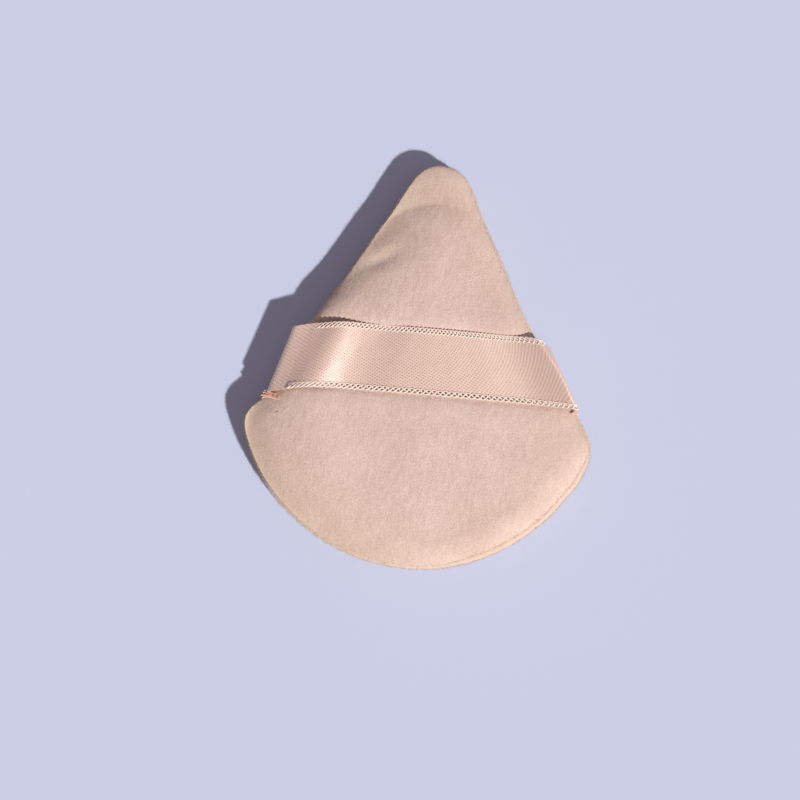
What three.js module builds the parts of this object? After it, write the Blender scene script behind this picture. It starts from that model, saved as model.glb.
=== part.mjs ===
// Powder puff: a flat velour cushion in the shape of a rounded triangle, with a satin ribbon
// sewn across its face as a finger strap.
// Millimetres, +Z up, +Y towards the tip. The origin lies under the middle of the puff,
// on the flat face that it rests on.

import * as THREE from 'three';

// Driving dimensions: the outline seen from above
const puffLength = 80;
const puffWidth = 68;
const tipReach = 45.8; // from the origin to the tip
const tipRadius = 6.6;
const cornerRadius = 10.4;
const baseBow = 15.7; // how far the base swells out past the corners

// Driving dimensions: the cushion seen from the side
const puffThickness = 10;
const seamHeight = 5;
const crownRise = 0.8; // how far the middle of each face stands proud of its shoulders
const restCut = 0.5; // how much of the lower crown is flattened where the puff rests
const edgeRoll = 4.6; // how far the rounded edge reaches in from the outline
const bellyHeight = 1.6; // from the seam to the widest line of each panel
const backSpread = 0.4; // how far the back panel's belly stands out past the front panel's

// Driving dimensions: the sewing
const fabricThickness = 1;
const seamAllowance = 2.6;
const threadDiameter = 0.3;
const stitchLine = 1.6; // from the outline in to the line of stitches
const turningGap = 28; // the stretch of the base that is closed by hand after turning
const closingStitches = 9;
const closingSwing = 0.5; // how far the hand stitches swing to each side of the stitch line

// Driving dimensions: the ribbon strap
const ribbonWidth = 12.6;
const ribbonThickness = 0.3;
const ribbonAhead = 15.1; // from the corner arcs' centres to the ribbon's middle, towards the tip
const ribbonSideSlack = 1.2; // how far the ribbon stands out past the side of the puff
const ribbonArch = 0.4; // extra height of the ribbon over the middle of the face
const tackLength = 6;
const tackWidth = 1.1;
const tackThickness = 0.5;

// The least space between neighbouring pieces
const clearance = 0.3;

// How finely the surfaces are divided
const tipSteps = 10;
const cornerSteps = 5;
const halfBaseSteps = 9;
const sideSteps = 6;
const rollSteps = 5;
const crownScales = [0.78, 0.42];
const threadSides = 6;
const seamThreadSteps = 72;
const stepsPerStitch = 8;
const ribbonAcrossSteps = 4;
const ribbonSpanSteps = 8;
const tackSteps = 6;
const arcSlices = 60;

// Outline: a tip arc, two corner arcs and a base arc, with a straight side on each flank
const tipCentre = new THREE.Vector2(0, tipReach - tipRadius);
const cornerX = puffWidth / 2 - cornerRadius;
const cornerY = tipReach - puffLength + baseBow + cornerRadius;
const cornerCentre = new THREE.Vector2(cornerX, cornerY);
const leftCornerCentre = new THREE.Vector2(-cornerX, cornerY);

// The base arc meets both corner arcs without a kink and reaches the end of the puff
const baseRadius = baseBow / 2 + cornerRadius + cornerX ** 2 / (2 * baseBow);
const baseCentre = new THREE.Vector2(0, tipReach - puffLength + baseRadius);
const baseAngle = Math.atan2(cornerY - baseCentre.y, cornerX);

// The right-hand side touches both the tip arc and the corner arc
const tipToCorner = cornerCentre.clone().sub(tipCentre);
const sideAngle = Math.atan2(tipToCorner.y, tipToCorner.x)
  + Math.acos((tipRadius - cornerRadius) / tipToCorner.length());
const sideNormal = new THREE.Vector2(Math.cos(sideAngle), Math.sin(sideAngle));
const sideReach = sideNormal.dot(tipCentre) + tipRadius;

// The two panels, from heights that follow from the driving dimensions
const frontShoulder = puffThickness - crownRise;
const backShoulder = crownRise - restCut;
const seamGap = ribbonThickness + 2 * clearance;
const frontPanel = {
  up: 1,
  belly: seamHeight + bellyHeight,
  rise: frontShoulder - seamHeight - bellyHeight,
  reach: edgeRoll,
  seamEdge: seamHeight + seamGap / 2,
};
const backPanel = {
  up: -1,
  belly: seamHeight - bellyHeight,
  rise: seamHeight - bellyHeight - backShoulder,
  reach: edgeRoll + backSpread,
  seamEdge: seamHeight - seamGap / 2,
};

// One sample of the outline: a point on it and the direction that points out of it there
function sampleOnArc(centre, radius, angle) {
  const normal = new THREE.Vector2(Math.cos(angle), Math.sin(angle));
  return { point: centre.clone().addScaledVector(normal, radius), normal };
}

// Samples from a start up to, but without, the end
function arcSamples(centre, radius, from, to, steps) {
  return Array.from({ length: steps }, (_, i) => (
    sampleOnArc(centre, radius, from + (to - from) * i / steps)
  ));
}

function straightSamples(start, end, steps) {
  return Array.from({ length: steps }, (_, i) => ({
    point: start.point.clone().lerp(end.point, i / steps),
    normal: start.normal,
  }));
}

// The whole outline, counter-clockwise from the middle of the base
function outlineSamples() {
  const leftAngle = Math.PI - sideAngle;
  const baseMiddle = -Math.PI / 2;
  return [
    ...arcSamples(baseCentre, baseRadius, baseMiddle, baseAngle, halfBaseSteps),
    ...arcSamples(cornerCentre, cornerRadius, baseAngle, sideAngle, cornerSteps),
    ...straightSamples(
      sampleOnArc(cornerCentre, cornerRadius, sideAngle),
      sampleOnArc(tipCentre, tipRadius, sideAngle),
      sideSteps,
    ),
    ...arcSamples(tipCentre, tipRadius, sideAngle, leftAngle, tipSteps),
    ...straightSamples(
      sampleOnArc(tipCentre, tipRadius, leftAngle),
      sampleOnArc(leftCornerCentre, cornerRadius, leftAngle),
      sideSteps,
    ),
    ...arcSamples(leftCornerCentre, cornerRadius, leftAngle, Math.PI - baseAngle, cornerSteps),
    ...arcSamples(
      baseCentre,
      baseRadius,
      Math.PI - baseAngle,
      2 * Math.PI + baseMiddle,
      halfBaseSteps,
    ),
  ];
}

const outline = outlineSamples();

// A closed solid from a list of points and the corners of its triangles
function solidGeometry(points, triangles) {
  const geometry = new THREE.BufferGeometry();
  const coordinates = points.flatMap((point) => point.toArray());
  geometry.setAttribute('position', new THREE.Float32BufferAttribute(coordinates, 3));
  geometry.setIndex(triangles);
  geometry.computeVertexNormals();
  return geometry;
}

// The outline set in by a distance, shrunk towards the middle, at one height
function ringPoints({ inset, scale, height }) {
  return outline.map(({ point, normal }) => {
    const place = point.clone().addScaledVector(normal, -inset).multiplyScalar(scale);
    return new THREE.Vector3(place.x, place.y, height);
  });
}

// A closed solid from rings. The section's first and last entries are its two poles, of which
// only the heights are used, and it runs from the upper pole out over the edge to the lower one.
function ringSolid(section) {
  const rings = section.slice(1, -1).map(ringPoints);
  const count = outline.length;
  const firstPole = rings.length * count;
  const lastPole = firstPole + 1;
  const lastRing = firstPole - count;
  const points = [
    ...rings.flat(),
    new THREE.Vector3(0, 0, section[0].height),
    new THREE.Vector3(0, 0, section[section.length - 1].height),
  ];
  const triangles = [];
  for (let i = 0; i < count; i += 1) {
    const next = (i + 1) % count;
    triangles.push(firstPole, i, next);
    triangles.push(lastPole, lastRing + next, lastRing + i);
    for (let near = 0; near < lastRing; near += count) {
      const far = near + count;
      triangles.push(near + i, far + i, far + next);
      triangles.push(near + i, far + next, near + next);
    }
  }
  return solidGeometry(points, triangles);
}

// Height of a panel's outer face at a scale of 0 in the middle to 1 at the shoulder.
// The back panel is flat where it rests.
function faceHeight(panel, scale) {
  const shoulder = panel.belly + panel.up * panel.rise;
  return Math.max(0, shoulder + panel.up * crownRise * (1 - scale ** 2) ** 2);
}

// The scale at which the back panel's crown meets the plane that it rests on
const restScale = Math.sqrt(1 - Math.sqrt(backShoulder / crownRise));

// The crowned middle of a face, set in by a thickness, from its pole to short of the shoulder
function crownSection(panel, thickness) {
  const outerScale = panel === backPanel ? restScale : crownScales[0];
  return [0, crownScales[1], outerScale].map((scale) => ({
    inset: edgeRoll,
    scale,
    height: faceHeight(panel, scale) - panel.up * thickness,
  }));
}

// A panel's rounded edge, set in by a thickness, from the shoulder to a height near the seam
function edgeSection(panel, thickness, stopHeight) {
  const reach = panel.reach - thickness;
  const rise = panel.rise - thickness;
  const lastTurn = Math.asin(panel.up * (stopHeight - panel.belly) / rise);
  return Array.from({ length: rollSteps + 1 }, (_, i) => {
    const turn = Math.PI / 2 + (lastTurn - Math.PI / 2) * i / rollSteps;
    return {
      inset: edgeRoll - reach * Math.cos(turn),
      scale: 1,
      height: panel.belly + panel.up * rise * Math.sin(turn),
    };
  });
}

// One velour panel: its face, its rounded edge, and the allowance turned in along the seam
function panelGeometry(panel) {
  const allowanceInside = panel.seamEdge + panel.up * fabricThickness;
  const section = [
    ...crownSection(panel, 0),
    ...edgeSection(panel, 0, panel.seamEdge),
    { inset: seamAllowance, scale: 1, height: panel.seamEdge },
    { inset: seamAllowance, scale: 1, height: allowanceInside },
    ...edgeSection(panel, fabricThickness, allowanceInside).toReversed(),
    ...crownSection(panel, fabricThickness).toReversed(),
  ];
  return ringSolid(panel === frontPanel ? section : section.toReversed());
}

// The foam core fills the cover inside the seam allowances
function foamCoreGeometry() {
  const lining = fabricThickness + clearance;
  const coreRoll = edgeRoll - seamAllowance - clearance;
  const top = frontShoulder - lining;
  const bottom = backShoulder + lining;
  const middle = (top + bottom) / 2;
  const edge = Array.from({ length: 2 * rollSteps + 1 }, (_, i) => {
    const turn = Math.PI / 2 * (1 - i / rollSteps);
    return {
      inset: edgeRoll - coreRoll * Math.cos(turn),
      scale: 1,
      height: middle + (top - middle) * Math.sin(turn),
    };
  });
  return ringSolid([
    ...crownSection(frontPanel, lining),
    ...edge,
    ...crownSection(backPanel, lining).toReversed(),
  ]);
}

// A thread of round section along a route
function threadGeometry(route, steps) {
  const corners = Array.from({ length: threadSides }, (_, i) => {
    const angle = 2 * Math.PI * i / threadSides;
    return new THREE.Vector2(Math.cos(angle), Math.sin(angle)).multiplyScalar(threadDiameter / 2);
  });
  return new THREE.ExtrudeGeometry(new THREE.Shape(corners), {
    steps,
    bevelEnabled: false,
    extrudePath: route,
  });
}

// A point between the two panels, set in from the base, at an angle from the base's middle
function basePoint(angle, inset) {
  const radius = baseRadius - inset;
  const x = radius * Math.sin(angle);
  return new THREE.Vector3(x, baseCentre.y - radius * Math.cos(angle), seamHeight);
}

const gapHalfAngle = turningGap / 2 / (baseRadius - stitchLine);

// The machine seam runs round the puff from one end of the turning gap to the other
function seamThreadGeometry() {
  const round = outline
    .map(({ point, normal }) => point.clone().addScaledVector(normal, -stitchLine))
    .filter((place) => {
      const fromBaseMiddle = Math.abs(Math.atan2(place.x, baseCentre.y - place.y));
      return fromBaseMiddle > gapHalfAngle + threadDiameter / baseRadius;
    })
    .map((place) => new THREE.Vector3(place.x, place.y, seamHeight));
  const route = new THREE.CatmullRomCurve3([
    basePoint(gapHalfAngle, stitchLine),
    ...round,
    basePoint(-gapHalfAngle, stitchLine),
  ]);
  return threadGeometry(route, seamThreadSteps);
}

// The hand stitches swing between the two folded edges to close the turning gap
function closingThreadGeometry() {
  const halfSpan = gapHalfAngle - (threadDiameter + clearance) / (baseRadius - stitchLine);
  const turns = 2 * closingStitches;
  const swings = Array.from({ length: turns + 1 }, (_, i) => {
    const swing = i % 2 === 0 ? closingSwing : -closingSwing;
    return basePoint(halfSpan * (2 * i / turns - 1), stitchLine + swing);
  });
  return threadGeometry(new THREE.CatmullRomCurve3(swings), closingStitches * stepsPerStitch);
}

// The roll of a strip over the side of the puff: a quarter ellipse, walked in short slices.
// It gives the length of the roll, and the turn in radians after a length of strip.
function stripRoll(reach, rise) {
  const slice = Math.PI / 2 / arcSlices;
  const pieces = Array.from({ length: arcSlices }, (_, i) => {
    const angle = slice * (i + 0.5);
    return Math.hypot(reach * Math.cos(angle), rise * Math.sin(angle)) * slice;
  });
  const length = pieces.reduce((sum, piece) => sum + piece, 0);
  const turnAt = (laid) => {
    let left = laid;
    for (let i = 0; i < arcSlices; i += 1) {
      if (left <= pieces[i]) {
        return slice * (i + left / pieces[i]);
      }
      left -= pieces[i];
    }
    return Math.PI / 2;
  };
  return { length, turnAt };
}

// A strip lies over the face, rolls over the slanting side and falls straight down past the
// belly. beside and above say how far its middle stands off the side and the face.
function makeStrip({ beside, above, thickness, low, high }) {
  const roll = stripRoll(edgeRoll + beside, frontPanel.rise + above);
  return { beside, above, thickness, low, high, roll };
}

// How far out and along the side the strip has come, after a length laid past the shoulder,
// on the fibre at a distance y from the origin. The strip isn't stretched: what it gains over
// the roll, it also gains along the side.
function alongSide(y, laid) {
  const flatX = (sideReach - edgeRoll + laid - y * sideNormal.y) / sideNormal.x;
  return y * sideNormal.x - flatX * sideNormal.y;
}

// A point beside the right-hand side, mirrored to the left for a side of -1
function besideSide(side, out, along, height) {
  return new THREE.Vector3(
    side * (out * sideNormal.x - along * sideNormal.y),
    out * sideNormal.y + along * sideNormal.x,
    height,
  );
}

// A point of the strip past the shoulder. layer runs from -1/2 inside to 1/2 outside.
function rolledPoint(strip, side, laid, y, layer) {
  const standing = layer * strip.thickness;
  const turn = strip.roll.turnAt(laid);
  const fall = Math.max(0, laid - strip.roll.length);
  const reach = edgeRoll + strip.beside + standing;
  const rise = frontPanel.rise + strip.above + standing;
  const out = sideReach - edgeRoll + reach * Math.sin(turn);
  const height = frontPanel.belly + rise * Math.cos(turn) - fall;
  return besideSide(side, out, alongSide(y, laid), height);
}

// A point of the strip between the two shoulders, at a share of the way from right to left
function spanPoint(strip, share, y, layer) {
  const shoulderX = (sideReach - edgeRoll - y * sideNormal.y) / sideNormal.x;
  const x = shoulderX * (1 - 2 * share);
  const scale = (Math.abs(x) * sideNormal.x + y * sideNormal.y) / (sideReach - edgeRoll);
  const arch = ribbonArch * (1 - (2 * share - 1) ** 2) ** 2;
  const height = faceHeight(frontPanel, scale) + strip.above + layer * strip.thickness + arch;
  return new THREE.Vector3(x, y, height);
}

// A closed solid from columns of points on an inner and an outer layer: columns[i](y, layer)
function stripSolid(strip, columns, acrossSteps) {
  const rows = acrossSteps + 1;
  const heights = Array.from({ length: rows }, (_, j) => (
    strip.low + (strip.high - strip.low) * j / acrossSteps
  ));
  const layers = [0.5, -0.5];
  const points = layers.flatMap((layer) => (
    columns.flatMap((column) => heights.map((y) => column(y, layer)))
  ));
  const index = (i, j, layer) => (layer * columns.length + i) * rows + j;
  const triangles = [];
  const addQuad = (a, b, c, d) => triangles.push(a, b, c, a, c, d);
  const lastColumn = columns.length - 1;
  for (let i = 0; i < lastColumn; i += 1) {
    for (let j = 0; j < acrossSteps; j += 1) {
      addQuad(index(i, j, 0), index(i, j + 1, 0), index(i + 1, j + 1, 0), index(i + 1, j, 0));
      addQuad(index(i, j, 1), index(i + 1, j, 1), index(i + 1, j + 1, 1), index(i, j + 1, 1));
    }
    addQuad(index(i, 0, 0), index(i + 1, 0, 0), index(i + 1, 0, 1), index(i, 0, 1));
    addQuad(
      index(i, acrossSteps, 0),
      index(i, acrossSteps, 1),
      index(i + 1, acrossSteps, 1),
      index(i + 1, acrossSteps, 0),
    );
  }
  for (let j = 0; j < acrossSteps; j += 1) {
    addQuad(index(0, j, 0), index(0, j, 1), index(0, j + 1, 1), index(0, j + 1, 0));
    addQuad(
      index(lastColumn, j, 0),
      index(lastColumn, j + 1, 0),
      index(lastColumn, j + 1, 1),
      index(lastColumn, j, 1),
    );
  }
  return solidGeometry(points, triangles);
}

const ribbonMiddle = cornerY + ribbonAhead;
const ribbonLow = ribbonMiddle - ribbonWidth / 2;
const ribbon = makeStrip({
  beside: ribbonSideSlack - ribbonThickness / 2,
  above: clearance + ribbonThickness / 2,
  thickness: ribbonThickness,
  low: ribbonLow,
  high: ribbonMiddle + ribbonWidth / 2,
});

// The free part of the ribbon, from just above the seam on one side to the same on the other
function ribbonStrapGeometry() {
  const fall = bellyHeight - ribbonThickness / 2 - clearance;
  const laidLengths = Array.from({ length: rollSteps + 1 }, (_, i) => (
    ribbon.roll.length * i / rollSteps
  ));
  laidLengths.push(ribbon.roll.length + fall);
  const rolled = (side) => laidLengths.map((laid) => (
    (y, layer) => rolledPoint(ribbon, side, laid, y, layer)
  ));
  const span = Array.from({ length: ribbonSpanSteps - 1 }, (_, i) => (
    (y, layer) => spanPoint(ribbon, (i + 1) / ribbonSpanSteps, y, layer)
  ));
  return stripSolid(ribbon, [...rolled(1).toReversed(), ...span, ...rolled(-1)], ribbonAcrossSteps);
}

// One end of the ribbon, turned in between the two panels and caught by the machine seam
function ribbonEndGeometry(side) {
  const toSeam = ribbon.roll.length + bellyHeight;
  const outerFold = -ribbonThickness / 2;
  const innerFold = ribbon.beside + stitchLine - threadDiameter / 2 - clearance;
  const columns = [innerFold, outerFold].map((fold) => (y, layer) => (
    besideSide(
      side,
      sideReach + ribbon.beside - fold,
      alongSide(y, toSeam + fold),
      seamHeight + layer * ribbonThickness,
    )
  ));
  return stripSolid(ribbon, side > 0 ? columns.toReversed() : columns, 1);
}

// The thread tack beside the ribbon's lower corner, run up the edge from the seam
function ribbonTackGeometry(side) {
  const high = ribbonLow - clearance;
  const tack = makeStrip({
    beside: clearance + tackThickness / 2,
    above: clearance + tackThickness / 2,
    thickness: tackThickness,
    low: high - tackWidth,
    high,
  });
  const foot = tack.roll.length + bellyHeight - ribbonThickness / 2 - clearance;
  const columns = Array.from({ length: tackSteps + 1 }, (_, i) => (y, layer) => (
    rolledPoint(tack, side, foot - tackLength * i / tackSteps, y, layer)
  ));
  return stripSolid(tack, side > 0 ? columns : columns.toReversed(), 1);
}

// Materials
const velour = new THREE.MeshStandardMaterial({ color: 0xdcb79b, roughness: 0.95, metalness: 0 });
const foam = new THREE.MeshStandardMaterial({ color: 0xf2ead8, roughness: 0.9, metalness: 0 });
const satin = new THREE.MeshStandardMaterial({ color: 0xd9a08c, roughness: 0.4, metalness: 0 });
const seamCotton = new THREE.MeshStandardMaterial({ color: 0xd8b08f, roughness: 0.8, metalness: 0 });
const tackCotton = new THREE.MeshStandardMaterial({ color: 0xdd9070, roughness: 0.7, metalness: 0 });

const puff = new THREE.Group();

function addPiece(name, geometry, material) {
  const mesh = new THREE.Mesh(geometry, material);
  mesh.name = name;
  puff.add(mesh);
}

addPiece('front_panel', panelGeometry(frontPanel), velour);
addPiece('back_panel', panelGeometry(backPanel), velour);
addPiece('foam_core', foamCoreGeometry(), foam);
addPiece('edge_seam_thread', seamThreadGeometry(), seamCotton);
addPiece('closing_thread', closingThreadGeometry(), seamCotton);
addPiece('ribbon_strap', ribbonStrapGeometry(), satin);
[['left', -1], ['right', 1]].forEach(([name, side]) => {
  addPiece(`ribbon_end_${name}`, ribbonEndGeometry(side), satin);
  addPiece(`ribbon_tack_${name}`, ribbonTackGeometry(side), tackCotton);
});

export default puff;
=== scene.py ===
"""The looks of a velour powder puff with a satin ribbon finger strap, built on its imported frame.

Shapes are worked out in millimetres, in the frame's own axes, and become metres as each mesh
is made: +Z out of the face that carries the ribbon, +Y towards the pointed tip.
"""

import math

import bpy
import numpy as np
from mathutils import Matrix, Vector, noise


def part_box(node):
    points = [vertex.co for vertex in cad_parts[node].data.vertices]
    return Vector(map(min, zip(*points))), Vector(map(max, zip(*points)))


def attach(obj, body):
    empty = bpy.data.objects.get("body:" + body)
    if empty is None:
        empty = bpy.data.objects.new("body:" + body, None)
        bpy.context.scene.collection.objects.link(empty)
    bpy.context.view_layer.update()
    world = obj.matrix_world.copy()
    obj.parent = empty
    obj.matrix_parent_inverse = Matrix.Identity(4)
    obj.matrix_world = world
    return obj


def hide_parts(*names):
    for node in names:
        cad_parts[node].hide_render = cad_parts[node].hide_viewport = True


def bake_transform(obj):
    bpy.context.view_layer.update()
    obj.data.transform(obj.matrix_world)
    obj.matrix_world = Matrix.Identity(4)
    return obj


MM = 0.001

# The photographed view
VIEW_AZIMUTH = math.radians(6)
VIEW_ELEVATION = math.radians(85)
LENS_MM = 50
SENSOR_MM = 36
CAMERA_DISTANCE = 223.4
PHOTO_PIXELS = 800
ORIGIN_PIXEL = (419.2, 394.9)  # where the puff's origin lies in the photograph

# Light: a key lamp from the lower right, and an even pale world
KEY_ELEVATION = math.radians(42)
KEY_IMAGE_DIRECTION = (0.68, -0.735)  # right and up in the picture, towards the lamp
KEY_STRENGTH = 3.65
KEY_ANGLE = math.radians(2.5)
KEY_COLOUR = (1.0, 0.985, 0.96)
FILL_STRENGTH = 0.24
FILL_COLOUR = (1.0, 0.88, 0.98)

FLOOR_SIZE = 1.6
FLOOR_COLOUR = (0.585, 0.63, 0.80)

# The cushion's outline, as in the frame
TIP_RADIUS = 6.6
CORNER_RADIUS = 10.4
BASE_BOW = 15.7

# The cushion from the side, as in the frame
CROWN_RISE = 0.8
REST_CUT = 0.5
EDGE_ROLL = 4.6
SEAM_HEIGHT = 5.0
BELLY_HEIGHT = 1.6
BACK_SPREAD = 0.4
FABRIC_THICKNESS = 1.0
SEAM_ALLOWANCE = 2.6
STITCH_LINE = 1.6
THREAD_RADIUS = 0.15
TURNING_GAP = 28.0
GAP_ENDS = (0.012, -0.018)  # past the gap's ends, in radians, where each thread stops
STITCH_LENGTH = 2.4
CLOSING_STITCHES = 9
CLOSING_SWING = 0.5
CLEARANCE = 0.3

# How the cloth departs from the plain form. A span along Y is where something comes in, from
# and to, and goes again, from and to
SEAM_OPENING = 0.45  # half the groove's width where it opens at the edge
GROOVE_FLOOR = 0.17  # half the groove's width at its inner end
UNEVEN_EDGE = 0.16
UNEVEN_FACE = 0.13
PILE_BUMP = 0.025
BACK_BUMP = 0.6  # how much of the front's bumps the back has
PILE_STAND = 0.2  # the cloth's edge lies this far in, and its pile fills the outline
SIDE_FADE = (15, 20)  # from the middle, where what is on one side only comes in
SIDE_SETBACK = 0.6  # how far the two long sides are drawn in
SETBACK_SPAN = (-14, 6, 34, 43)
PINCH_DEPTH = 2.4  # how far the ribbon draws the left side in
PINCH_SPAN = (-9.5, -1, 7, 12)
RIGHT_HOLLOW = 0.7  # how far each side falls in above the ribbon
LEFT_HOLLOW = 0.4
HOLLOW_SPAN = (10, 14, 20, 32)
RIGHT_SWELL = 0.5  # how far the right corner swells out below it
SWELL_SPAN = (-20, -13, -8, -2)
FRONT_SETBACK = 0.3  # how far the front panel's edge lies inside the back panel's
BASE_SETBACK = 0.6  # how much further in it lies along the right of the base
BASE_RIGHT = (2, 16)  # along X, where that comes in
BASE_TOP = (-12, -6)  # along Y, where it goes again
DRAWN_POWER = 6  # how fast the drawn-in edge fades towards the face's middle
DENT_CENTRE = (-11.3, 24.7)
DENT_ANGLE = math.radians(23)
DENT_LENGTH = 3.9
DENT_WIDTH = 1.6
DENT_DEPTH = 1.05
LIP_SHARE = 0.35  # the lip beside the dent, as a share of its depth
LIP_PLACE = 1.9  # in dent widths from the dent's middle
LIP_SPREAD = 1.6
EDGE_FALL = 2.8  # how much lower the front's edge is than the plain form on the left
RIGHT_EDGE_FALL = 0.8
FALL_REACH = 13.5
FALL_TURN = 12.0  # either side of the middle, where the right's fall becomes the left's
FALL_BLEND = 3.0  # how softly the falls from two edges meet
HELD_UP = 0.65  # how much less it falls just above the ribbon
HELD_PLACE = 2.5  # from the ribbon's edge
HELD_REACH = 4.5
SETTLED_FROM = 1.5  # over the seam, where the cloth starts to go down with the stuffing
SETTLED_RISE = 2.7
RIBBON_DENT = 0.45  # how deep the ribbon presses into the face
PRESS_EDGE = 1.2  # either side of the ribbon's edge, where the pressing ends
RIBBON_SWELL = 0.12  # how far the face swells up beside it
SWELL_PLACE = 2.6  # from the ribbon's edge
SWELL_REACH = 2.0

# The panels' meshes, and the pile
FACE_RINGS = 100
ROLL_RINGS = 20
INNER_RINGS = 13
OUTLINE_POINTS = 1400
FOAM_POINTS = 240
FOAM_RINGS = 14
FRONT_TUFTS = 47000
BACK_TUFTS = 42000
TUFT_LENGTH = 0.34
TUFT_WIDTH = 0.17
TUFT_ROOT = 0.02  # how deep a tuft starts in the cloth
TUFT_ARCH = 0.035
EDGE_HAIR = 0.7  # how much longer and thinner the tufts are on the rolled edge
TUFT_TILT = 0.1  # how unevenly the tufts catch the light
EDGE_DENSITY = 1.5  # how much denser the tufts are on the rolled edge
FRONT_EDGE_TOP = 8.6
BACK_EDGE_FOOT = 1.2
REST_DENSITY = 0.25
REST_HEIGHT = 0.05  # below this height the back rests
SQUASHED_BELOW = 0.6  # the height under which the back's tufts lie short and flat

# The materials
BAKE_SPAN = 90.0  # the side of the plan square that the pile's bake map covers
# Painted sheen and shade: from the first height down, the velour's colour turns towards a yellower
# rim tint that stands in for the sheen the rolled edge catches; on the pile that tint is also
# darker than the face, a painted shade
PAINTED_RIM_HEIGHTS = (9.5, 6.4)  # the velour turns yellower from the first height to the second
PAINTED_RIM_SHARE = 0.6
PORE_SIZE = 0.5

# The ribbon: plan positions of its ends' corners, heights of its path, and its edges
RIBBON_MIDDLE = 5.65
RIBBON_HALF_WIDTH = 6.6  # over its woven edges
RIBBON_BODY_HALF = 5.35  # half the satin's width between them
RIBBON_THICKNESS = 0.24
RIBBON_TILT = 0.0195  # how much its middle rises along Y for each millimetre along X
RIBBON_GAP = 0.3
BEND_START = {-1: 13.0, 1: 19.0}  # from the middle, where each end turns towards the base
END_CORNERS = {-1: ((-29.6, -3.2), (-25.9, 10.0)), 1: ((30.5, -0.8), (24.2, 11.6))}
END_CURVE = {-1: 1.0, 1: 2.5}  # how late, as a power, the upper edge's path takes over
# Each end's path in from its border, as (distance, height), on the lower and the upper edge.
# All four leave the seam in the same way
OUT_OF_SEAM = [(1.3, 5.0), (0.45, 5.1), (0.05, 5.9)]
END_PATHS = {
    -1: (
        [*OUT_OF_SEAM, (0.0, 6.8), (0.15, 7.9), (0.5, 8.3), (1.1, 8.55), (2.2, 8.9), (3.6, 9.4),
         (5.0, 10.05), (6.6, 10.65), (8.2, 10.95), (9.4, 10.9), (11.8, 10.3), (14.0, 9.75),
         (16.5, 9.5), (40.0, 9.5)],
        [*OUT_OF_SEAM, (0.0, 6.8), (0.15, 7.6), (0.5, 7.85), (1.1, 8.0), (2.2, 8.1), (3.6, 8.25),
         (5.2, 8.6), (7.0, 9.2), (8.8, 9.8), (10.0, 10.0), (12.2, 9.6), (14.4, 9.2),
         (17.5, 9.1), (40.0, 9.5)],
    ),
    1: (
        [*OUT_OF_SEAM, (0.0, 7.5), (0.0, 9.6), (0.1, 10.7), (0.35, 11.05), (0.8, 11.1),
         (1.6, 10.9), (3.0, 10.4), (4.8, 9.8), (6.8, 9.3), (9.0, 9.15), (12.0, 9.3),
         (40.0, 9.5)],
        [*OUT_OF_SEAM, (0.0, 6.6), (0.4, 7.5), (1.6, 8.75), (2.5, 9.4), (3.0, 9.6), (3.8, 9.45),
         (4.8, 9.2), (6.0, 8.95), (7.4, 8.85), (9.0, 8.9), (12.0, 9.1), (40.0, 9.4)],
    ),
}
PATH_STEP = 0.05
FIRM_PASSES = 40  # of smoothing, on the folds near the border
SOFT_PASSES = 900  # of smoothing, past them
SOFT_FROM = (7, 11)
PAST_FOLDS = 5.0  # this far in, a path runs only inward
END_LENGTH = 12.0  # how much of a path, from its start, is laid the same on every fibre
MIDDLE_LENGTH = 24.0  # about how long the rest is
TUCK_TOP = 5.9  # below this height the end turns in to the seam
LEAST_TUCK = 0.6
END_REACH = {-1: (17.0, 24.0), 1: (9.0, 15.0)}  # where each end's path gives way to the face
PICOT_STARTS = {-1: (2.3, 2.9), 1: (0.5, 0.9)}  # from each border, lower and upper edge
BORDER_HEIGHT = 8.5
# The satin's extra width at each end, where its woven edges turn under, as a share, and how far
# from the border it starts and is full
END_WIDENING = {-1: (0.23, 6.2, 4.8), 1: (0.12, 2.0, 0.8)}
COLUMN_STEP = 0.22
ROW_STEP = 0.22
PLAIT_PERIOD = 2.85  # the woven edge is a plait of three threads
PLAIT_REACH = RIBBON_HALF_WIDTH + 0.4  # past the plait's outer threads
PLAIT_MIDDLE = 5.93
PLAIT_SWING = 0.5
PLAIT_RISE = 0.07
PLAIT_STAND = 0.05
PLAIT_THREAD = 0.17
PLAIT_POINTS = 24  # for each period
SEWN_LEVEL = 0.25  # over the seam, where the free part starts
RIDGE_ROUND = 3.0  # rounds what lies on the crown where its two sides meet

# The tacks: for each side, the plan places where the strands start and stop on the edge, how
# far up the rolled edge they reach, in degrees, how many there are and in how many layers
TACKS = {
    -1: ((-32.1, -2.9), (-31.5, -1.5), 64, 10, 3),
    1: ((31.4, -1.1), (31.1, -0.4), 36, 4, 1),
}
TACK_FOOT = -28  # how far down the rolled edge they start, in degrees
TACK_STRAND = 0.16
TACK_SPREAD = {-1: 0.19, 1: 0.14}
SIDE_NAMES = {-1: "left", 1: "right"}

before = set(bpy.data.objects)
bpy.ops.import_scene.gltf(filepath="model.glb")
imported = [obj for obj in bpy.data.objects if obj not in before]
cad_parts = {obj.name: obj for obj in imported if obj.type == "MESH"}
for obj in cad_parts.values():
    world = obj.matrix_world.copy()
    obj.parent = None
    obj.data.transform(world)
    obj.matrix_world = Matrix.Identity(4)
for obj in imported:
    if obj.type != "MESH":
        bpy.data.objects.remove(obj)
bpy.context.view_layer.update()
random = np.random.default_rng(20)


# The view, the lights and the floor


def camera_axes():
    """The camera's right, up and back directions."""
    a, e = VIEW_AZIMUTH, VIEW_ELEVATION
    back = Vector((math.sin(a) * math.cos(e), -math.cos(a) * math.cos(e), math.sin(e)))
    right = Vector((math.cos(a), math.sin(a), 0))
    return right, back.cross(right), back


def placed(name, data):
    item = bpy.data.objects.new(name, data)
    bpy.context.collection.objects.link(item)
    return item


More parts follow.
